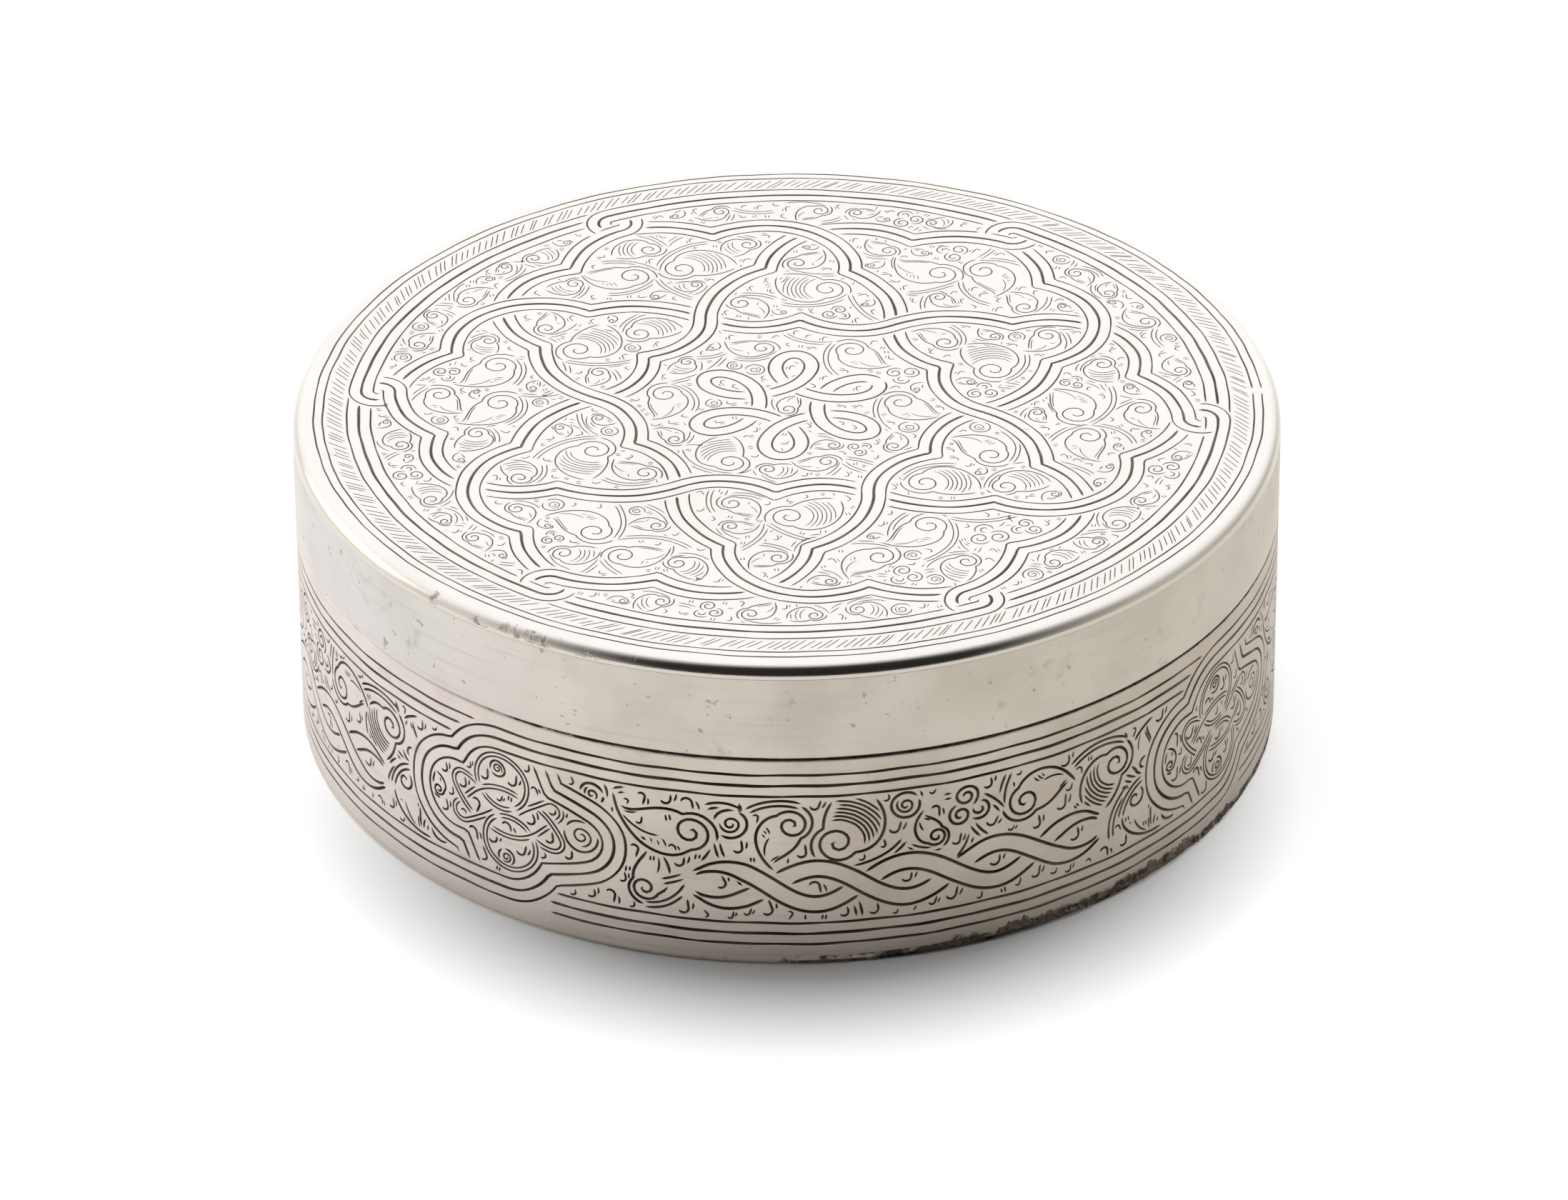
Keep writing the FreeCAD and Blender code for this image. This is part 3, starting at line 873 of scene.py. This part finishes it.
def limitBand(plate):
    # Nothing more is cut outside the band or at the seam
    bandHalf, margin = wall["borderRise"] - wall["strapHalf"], wall["seamMargin"]
    ink, place, middle = inkPlaces(plate), plate["place"], stripLength / 2
    plate["inked"] |= np.abs(ink.imag - wall["middle"]) > bandHalf - 0.15
    plate["inked"] |= np.abs(ink.real - middle) > middle - margin
    plate["room"] = np.minimum(plate["room"], bandHalf - np.abs(place.imag - wall["middle"]))
    plate["room"] = np.minimum(plate["room"], middle - margin - np.abs(place.real - middle))


def weave(plate, paths, under, half, line, centre):
    # Each path as two lines; near a crossing where it goes under, its lines stop at the other path's edge
    for a, (path, taper) in enumerate(paths):
        for offset in (-half, half):
            side = parallelLine(path, [], offset * taper)
            hidden = np.zeros(len(side), bool)
            for b, (other, _) in enumerate(paths):
                meets = crossings(path, other) if a != b else np.zeros(0, complex)
                if len(meets):
                    nearest = np.abs(side[:, None] - meets[None, :]).argmin(axis=1)
                    hidden |= under(a, b, meets)[nearest] & ~farFrom(side, other, half + 0.22)
            for run in visibleRuns(side, ~hidden):
                for part in onStrip(run + centre):
                    engrave(plate, part, line, step=0.45, clear=0.08)
    for path, taper in paths:
        for part in onStrip(path + centre):
            reserve(plate, part, half)


# Foliage of a cartouche and of a panel, from the middle of each: place, size, lean in degrees, hand
knotFoliage = ((ringedEye, -1.9 + 6.1j, 1.35, 200, 1), (ringedEye, -0.9 - 6.0j, 1.4, 100, 1),
               (ringedEye, 9.4 + 0.1j, 2.7, 150, 1), (slimLeaf, -11.2 + 0.2j, 2.0, 80, 1))
foliage = ((flameLeaf, -26.3 + 3.0j, 5.7, 188, -1), (ringedEye, -19.3 + 4.9j, 2.5, 60, 1),
           (slimLeaf, -13.6 + 3.6j, 4.9, -138, 1), (shellLeaf, -5.2 + 3.9j, 6.0, 46, 1),
           (ringedEye, 1.4 + 6.6j, 2.2, 20, 1), (trefoil, 9.2 + 5.0j, 3.6, 10, 1),
           (slimLeaf, 17.0 + 4.8j, 5.2, 33, -1), (shellLeaf, 25.4 + 3.2j, 5.2, 212, 1),
           (flameLeaf, 30.6 + 3.4j, 3.4, 108, -1), (flameLeaf, -29.0 - 4.0j, 4.0, 62, 1),
           (ringedEye, 36.0 - 6.3j, 2.1, 120, 1), (flameLeaf, 29.8 - 3.8j, 4.2, -84, 1),
           (ringedEye, -36.2 + 6.4j, 1.9, 0, 1))


def drawLoops(plate):
    # Knot in each cartouche, the same when turned half round: a ring, an arm that crosses it, a short link
    ring = -0.5 + 4.1j + polar(3.65, np.linspace(-60, 300, 160))
    arm = chain(3.4 + 2.2j, np.radians(148), -4.9 + 1.2j, -7.4 - 1.2j, -5.8 - 3.3j, -3.8 - 2.0j, -1.6 - 0.3j)
    link = chain(-4.0 + 2.5j, np.radians(140), -6.4 + 3.4j, -7.7 + 1.4j, -3.2 - 2.8j)
    paths = [(path * turn, 1.0) for path in (ring, arm, link) for turn in (1, -1)]

    def under(a, b, meets):
        # By kind (ring, arm, link) and by how far out they meet
        pair, far = (a // 2, b // 2), np.abs(meets)
        if pair in ((0, 1), (1, 0)):
            armOver = (far > 3.6) & (meets.real * (1 - 2 * ((a if a // 2 == 1 else b) % 2)) < 0)
            return armOver if pair == (0, 1) else ~armOver
        if pair in ((1, 2), (2, 1)):
            return far > 5.5 if pair == (1, 2) else far <= 5.5
        return np.full(len(meets), pair == (2, 0))

    for centre in cartouches:
        weave(plate, paths, under, wall["loopHalf"], wall["loopLine"], centre + wall["knotShift"])
        for motif, offset, size, lean, hand in knotFoliage:
            motif(plate, (centre + offset, size, np.radians(lean), hand), 0.85 * wall["scrollLine"])


def drawRibbons(plate):
    # Two ribbons v = drop +- swing*cos(2*pi*u/wave), over and under by turns, pointed at their ends
    reach, wave = wall["ribbonReach"], wall["ribbonWave"]
    u = np.linspace(-reach, reach, 320)
    taper = np.clip((reach - np.abs(u)) / 6, 0.15, 1) ** 0.7
    swing = 1j * wall["ribbonSwing"] * np.cos(2 * np.pi * u / wave)
    ribbons = [(u + 1j * wall["ribbonDrop"] + side * swing, taper) for side in (1, -1)]

    def under(a, b, meets):
        return (np.round(meets.real / wave * 2 - 0.5).astype(int) + a) % 2 == 1

    for centre, gap in zip(cartouches, panels):
        weave(plate, ribbons, under, wall["ribbonHalf"], wall["bandLine"], centre + gap / 2)


def drawFoliage(plate):
    # What a panel is longer or shorter than the pitch is taken up towards its right end
    line = wall["scrollLine"]
    for centre, gap in zip(cartouches, panels):
        for motif, offset, size, lean, hand in foliage:
            spread = (gap - pitch) * np.clip((offset.real - 10) / 20, 0, 1)
            for shift in (-girth, 0, girth):
                place = centre + pitch / 2 + offset + spread + shift
                if -9 < place.real < stripLength + 9:
                    root, heading = motif(plate, (place, size, np.radians(lean), hand), line)
                    for bend in (1.2, -1.0):
                        twinStem(plate, root, heading + 0.2 * bend, bend, 1.7 * size, 0.9 * line, 0.7)


def alongTheWall(z):
    return 0.0


drawCartouches(wallPlate)
limitBand(wallPlate)
drawLoops(wallPlate)
drawRibbons(wallPlate)
drawFoliage(wallPlate)
wallScrolls = ((3.0, 1.9, 1.3, 0.3, 0.95, (slimLeaf, shellLeaf), True),)
wallMarks = ((0.85, 1.5, 0.85, hookPair, 0.25), (0.62, 1.0, 0.75, hookPair, 0.3),
             (0.5, 0.7, 0.7, tickPair, 0.25))
fillPlate(wallPlate, wallScrolls, wallMarks, wall["scrollLine"], alongTheWall)
print(f"wall drawing: {len(wallPlate['cuts'])} cuts")


def stripBearing(u):
    return np.radians(seamBearing) + (u + seamGap / 2) / boxRadius


def seamShadeAndDirt(degrees):
    # Painted shade and dirt in the seam: most at the front right, hardly any at the back left
    return np.interp(degrees, (-150, -135, -110, -60, 0, 60, 150), (0.05, 0.35, 0.8, 1, 0.85, 0.5, 0.05))


def buildWall():
    # Engraved outside, rounded rim, plain inside, and the two ends of the strip at its seam
    low, columns, levels, roll = wallLow[2], wall["columns"], wall["levels"], wall["rimRound"]
    inside = boxRadius - sheetThick
    u, v = np.linspace(0, stripLength, columns + 1), np.linspace(low, wallTop, levels + 1)
    outline = np.concatenate([u + 1j * low, stripLength + 1j * v[1:], u[-2::-1] + 1j * wallTop,
                              1j * v[-2:0:-1]])
    z, depth, sheet = cutSheet(wallPlate, outline, wall["depthPerWidth"], 2.5)
    bearing = stripBearing(z.real)
    outward = np.stack([np.cos(bearing), np.sin(bearing), 0 * bearing], axis=1)
    outer = outward * (boxRadius - depth)[:, None]
    outer[:, 2] = z.imag
    sweep = np.radians(np.linspace(0, 90, 7)[1:])
    rim = boxRadius - roll + roll * np.cos(sweep) + 1j * (wallTop + roll * np.sin(sweep))
    profile = np.concatenate([rim, [inside + 1j * wallHigh[2]], inside + 1j * v[::-1]])
    rows = lathe(profile, stripBearing(u))
    ids, bottomRow = vertexIds(rows, len(z)), np.arange(columns + 1)
    topRow = (columns + levels + bottomRow)[::-1]
    points = np.concatenate([outer, rows.reshape(-1, 3)])
    around = gridTriangles(np.concatenate([topRow[None, :], ids, bottomRow[None, :]]), False)
    startSide = np.concatenate([[bottomRow[0]], len(outline) - 1 - np.arange(levels - 1), [topRow[0]],
                                ids[:, 0]])
    endSide = np.concatenate([[bottomRow[-1]], columns + 1 + np.arange(levels), ids[:, -1]])
    triangles = np.concatenate([sheet, around, *endFans(startSide, endSide)])
    normals = sheetNormals(triangles, sheet, depth, outer, outward[sheet])
    capStart = len(sheet) + len(around)
    normals[capStart:] = faceNormals(points, triangles[capStart:])[:, None, :]
    # Map: the outside in three strips one above the other, the rest in two narrower ones above them
    alongRows = np.concatenate([z.real, np.tile(u, len(profile))])
    overRim = wallTop - low + lengthAlong(np.concatenate([[boxRadius + 1j * wallTop], profile]))[1:]
    upRows = np.concatenate([z.imag - low, np.repeat(overRim, columns + 1)])
    isSheet = np.arange(len(triangles)) < len(sheet)
    share = np.where(isSheet, stripLength / 3, stripLength / 2)
    strip = np.minimum(alongRows[triangles].mean(axis=1) // share, np.where(isSheet, 2, 1))
    scale = np.where(isSheet, wallMap["sheetScale"], wallMap["restScale"])[:, None]
    x = wallMap["left"] + (alongRows[triangles] - (strip * share)[:, None]) * scale
    upCorner = upRows[triangles]
    upCorner[~isSheet] -= wallTop - low
    bottomCorner = (~isSheet)[:, None] & (triangles < len(z)) & (points[triangles][:, :, 2] < low + 1e-6)
    upCorner[bottomCorner] = upRows.max() - (wallTop - low) + sheetThick
    stripFoot = np.where(isSheet, wallMap["sheetFrom"] + strip * wallMap["sheetStep"],
                         wallMap["restFrom"] + strip * wallMap["restStep"])
    uv = np.stack([x, stripFoot[:, None] + upCorner * scale], axis=-1)
    cut = np.concatenate([(depth > 0).astype(float), np.zeros(len(points) - len(depth))])
    # Grime and painted shade: in the seam under the lid the darkness is painted shade as well as dirt, along
    # the foot it is grime; most of both at the front right
    degrees = bearingOf(points)
    height, rise = points[:, 2] - low, points[:, 2] - wallTop
    onSide = np.exp(-((degrees - wall["sideBearing"]) / wall["sideWidth"]) ** 2)
    atFoot = (wall["footGrime"] + wall["sideGrime"] * onSide) * np.clip(1.15 - height / 1.9, 0, 1)
    inSeam = np.interp(rise, (0.1, 0.25, 0.36), (0, 0.45, 0.85)) * seamShadeAndDirt(degrees)
    grime = np.where(rise > 0.1, inSeam, np.where(points[:, 2] < low + 3, atFoot, 0))
    piece = newPiece("base_wall_engraved", points, triangles, "base", "silver_engraved", wallSilver, normals,
                     uv, cut=cut, grime=grime, along=alongRows * wearScale["along"],
                     up=upRows * wearScale["up"])
    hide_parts("base_wall")


buildWall()
skirt = dict(rimRound=0.25, columns=480)


def buildSkirt():
    # Plain strip: closed section carried round from one side of the seam to the other
    bottom, top, inside, roll = skirtLow[2], skirtHigh[2], boxRadius - sheetThick, skirt["rimRound"]
    sweep = np.radians(np.linspace(-90, 0, 5))
    lip = boxRadius - roll + roll * np.cos(sweep) + 1j * (bottom + roll + roll * np.sin(sweep))
    side = boxRadius + 1j * np.linspace(bottom + 1, top, 8)
    profile = np.concatenate([[inside + 1j * bottom], lip, side, [inside + 1j * top]])
    u = np.linspace(0, stripLength, skirt["columns"] + 1)
    rows = lathe(profile, stripBearing(u))
    points = rows.reshape(-1, 3)
    # The lower edge by the seam is darkened: painted shade as well as dirt
    grime = np.interp(points[:, 2] - bottom, (0.05, 0.16, 0.27), (0.9, 0.75, 0))
    grime *= seamShadeAndDirt(bearingOf(points))
    piece = newPiece("lid_skirt_ring", points, tube(rows), "lid", "silver_plain", skirtSilver, grime=grime,
                     along=np.tile(u, len(profile)) * wearScale["along"],
                     up=np.repeat(lengthAlong(profile), len(u)) * wearScale["up"])
    # Corners of the section are kept crisp
    sharp = piece.data.attributes.new("sharp_edge", "BOOLEAN", "EDGE")
    edgeVertices = np.zeros(2 * len(piece.data.edges), np.int32)
    piece.data.edges.foreach_get("vertices", edgeVertices)
    rowOf = edgeVertices.reshape(-1, 2) // len(u)
    crisp = (rowOf[:, 0] == rowOf[:, 1]) & np.isin(rowOf[:, 0], (0, len(profile) - 1, len(profile) - 2))
    sharp.data.foreach_set("value", crisp)
    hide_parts("lid_skirt")


buildSkirt()

# Rough run of solder left along the foot edge, front right
crust = dict(fromBearing=-90, toBearing=-8, tallest=2.7, proudest=0.32, columns=800, rows=11, lowest=0.12,
             footRound=0.6, sunk=0.02, thick=0.1)


def ripple(along, across, seed, slowest, count):
    # Sum of sines with falling weight: an uneven line that is the same every time
    rng = np.random.default_rng(seed)
    pitchOf = slowest * 1.7 ** np.arange(count)
    return sum(np.sin(f * along + g * f * across + rng.random() * 6.3) * 0.75 ** k
               for k, (f, g) in enumerate(zip(pitchOf, rng.random(count))))


def buildCrust():
    # Section: t from the underside up the wall, at height = lowest + tallest*t*lumps
    # Its radius is the wall's, with the foot's rounding, + proudest*sin(pi*t)**0.7*grain
    # Both fade out towards the two ends of the run
    bearings = np.radians(np.linspace(crust["fromBearing"], crust["toBearing"], crust["columns"]))
    along, across = np.meshgrid(bearings, np.linspace(0, 1, crust["rows"]))
    fade = np.clip(np.minimum(along - bearings[0], bearings[-1] - along) / 0.5, 0.01, 1) ** 0.6
    lumps = np.clip(0.33 + 0.30 * ripple(along, 0 * across, 3, 14, 8), 0.06, 1)
    grain = np.clip(0.5 + 0.28 * ripple(along, across, 8, 40, 6), 0.05, 1)
    proud = crust["proudest"] * fade * grain * np.sin(np.pi * across) ** 0.7
    height, foot = crust["lowest"] + crust["tallest"] * fade * lumps * across, crust["footRound"]
    rounded = boxRadius - foot + np.sqrt(np.clip(foot ** 2 - (foot - height) ** 2, 0, 1))
    radius = np.where(height < foot, rounded, boxRadius)

    def shell(distance):
        return np.stack([distance * np.cos(along), distance * np.sin(along), height], axis=-1)

    outer, inner = shell(radius + proud - crust["sunk"]), shell(radius - crust["thick"])
    rows = np.concatenate([outer, inner[1:-1][::-1]])
    newPiece("foot_solder_run", rows.reshape(-1, 3), tube(rows), "base", "silver_solder", crustSolder)


buildCrust()
for name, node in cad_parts.items():
    if name in ("lid_top", "base_wall", "lid_skirt"):
        continue
    finish = dict(inner_collar=insideSilver, base_plate=footSilver).get(name, solderSilver)
    node.data.materials.clear()
    node.data.materials.append(finish)
print("pieces built")

# Studio: pale floor, soft lamps, and a world that is white but dim on the camera's side and on the right
studio = dict(floorSize=6.0, floorColour=(0.8, 0.8, 0.8), floorGlow=0.47, glowCentre=(0.002, -0.0225, 0),
              glowStretch=(1.04, 1, 1), glowFrom=0.0405, glowTo=0.0625, worldShine=1.0,
              sideMiddle=(0.93, 0.20, 0.30), sideValue=0.88, sideInner=14, sideOuter=46,
              dimElevation=33, dimBearing=-85, dimNarrow=1.3, dimValue=0.03, dimInner=42, dimOuter=76)


def buildFloor():
    # Pale floor whose glow grows linearly with the distance from glowCentre, between glowFrom and glowTo
    size = studio["floorSize"] / 2
    mesh = bpy.data.meshes.new("floor")
    corners = [(-size, -size, 0), (size, -size, 0), (size, size, 0), (-size, size, 0)]
    mesh.from_pydata(corners, [], [(0, 1, 2, 3)])
    floor = newObject("floor", mesh)
    material = bpy.data.materials.new("pale floor")
    tree, add = nodeTree(material)
    tree.nodes.remove(tree.nodes["Principled BSDF"])
    # Seen by camera, glossy and transmission rays, and fading out round the box, most in front: the darker
    # floor there is painted shadow on top of the lamps' own
    path = add("LightPath", {})
    seen = path["Is Camera Ray"]
    for ray in ("Is Glossy Ray", "Is Transmission Ray"):
        seen = add("Math", {0: seen, 1: path[ray]}, operation="MAXIMUM")[0]
    place = add("TexCoord", {})["Object"]
    wide = add("VectorMath", {0: place, 1: studio["glowStretch"]}, operation="MULTIPLY")[0]
    away = add("VectorMath", {0: wide, 1: studio["glowCentre"]}, operation="DISTANCE")["Value"]
    rise = add("MapRange", {"Value": away, "From Min": studio["glowFrom"], "From Max": studio["glowTo"],
                            "To Max": studio["floorGlow"]})["Result"]
    strength = add("Math", {0: seen, 1: rise}, operation="MULTIPLY")[0]
    diffuse = add("BsdfDiffuse", dict(Color=(*studio["floorColour"], 1)))[0]
    both = add("AddShader", {0: diffuse, 1: add("Emission", dict(Strength=strength))[0]})[0]
    tree.links.new(both, tree.nodes["Material Output"].inputs["Surface"])
    mesh.materials.append(material)


def buildWorld():
    # White all round but for two dimmer patches; each value is linear in cos(angle to the patch's middle)
    scene.world = bpy.data.worlds.new("studio")
    tree, add = nodeTree(scene.world)
    direction = add("TexCoord", {})["Generated"]

    def patch(towards, middle, name, around):
        dot = add("VectorMath", {0: towards, 1: middle.normalized()}, operation="DOT_PRODUCT")["Value"]
        outer, inner = np.cos(np.radians((studio[name + "Outer"], studio[name + "Inner"])))
        return add("MapRange", {"Value": dot, "From Min": outer, "From Max": inner, "To Min": around,
                                "To Max": studio[name + "Value"]})["Result"]

    # A dark patch above the camera's side: stretching X before the dot product makes it narrower that way
    elevation, bearing = np.radians(studio["dimElevation"]), np.radians(studio["dimBearing"])
    flat = np.cos(elevation)
    middle = Vector((flat * np.cos(bearing), flat * np.sin(bearing), np.sin(elevation)))
    stretch = Vector((studio["dimNarrow"], 1, 1))
    narrow = add("VectorMath", {0: direction, 1: stretch}, operation="MULTIPLY")[0]
    unit = add("VectorMath", {0: narrow}, operation="NORMALIZE")[0]
    dark = patch(unit, middle * stretch, "dim", studio["worldShine"])
    # A weaker patch on the right
    weaker = patch(direction, Vector(studio["sideMiddle"]), "side", 1.0)
    level = add("Math", {0: dark, 1: weaker}, operation="MULTIPLY")[0]
    path = add("LightPath", {})
    seen = add("Math", {0: path["Is Camera Ray"], 1: path["Is Transmission Ray"]}, operation="MAXIMUM")[0]
    background = tree.nodes["Background"]
    background.inputs["Color"].default_value = (1, 1, 1, 1)
    tree.links.new(add("Mix", {0: seen, 2: level, 3: 1.0})[0], background.inputs["Strength"])


def softbox(name, place, target, size, watts, rays):
    # Rectangular lamp that faces the target; of diffuse and glossy rays only the kind named meets it
    lamp = bpy.data.lights.new(name, "AREA")
    lamp.shape, lamp.size, lamp.size_y, lamp.energy = "RECTANGLE", size[0], size[1], watts
    box = newObject(name, lamp)
    box.visible_diffuse, box.visible_glossy = rays != "glossy", rays != "diffuse"
    facing = (Vector(target) - Vector(place)).to_track_quat("-Z", "Y")
    box.matrix_world = Matrix.Translation(place) @ facing.to_matrix().to_4x4()


buildFloor()
buildWorld()
softbox("back softbox", (0.0, 0.30, 1.3), (0, 0, 0.02), (1.3, 0.6), 9, "diffuse")
softbox("left softbox", (-1.2, 0.5, 0.5), (0, 0, 0.02), (1.0, 0.8), 1.7, "glossy")
print("studio built")

# Camera at the photograph's viewing angle
view = dict(elevation=31.7455, roll=-0.376, focalPixels=12662.2, pictureWidth=2195, sensor=36.0,
            distance=1098.2, right=0.308, up=23.58)


def buildCamera():
    # place = top of the lid - distance*forward - shifts along the picture's right and up
    tilt, roll = np.radians(view["elevation"]), np.radians(view["roll"])
    forward = np.array([0, np.cos(tilt), -np.sin(tilt)])
    level, above = np.array([1.0, 0, 0]), np.array([0, np.sin(tilt), np.cos(tilt)])
    right = np.cos(roll) * level + np.sin(roll) * above
    up = -np.sin(roll) * level + np.cos(roll) * above
    aim = np.array([0, 0, lidHigh[2]])
    place = (aim - view["distance"] * forward - view["right"] * right - view["up"] * up) / 1000
    camera = bpy.data.cameras.new("photo view")
    camera.sensor_fit, camera.sensor_width = "HORIZONTAL", view["sensor"]
    camera.lens = view["focalPixels"] / view["pictureWidth"] * view["sensor"]
    holder = newObject("photo view", camera)
    rows = np.stack([right, up, -forward, place], axis=1)
    holder.matrix_world = Matrix((*rows, (0, 0, 0, 1)))
    scene.camera = holder


buildCamera()
print("camera placed")
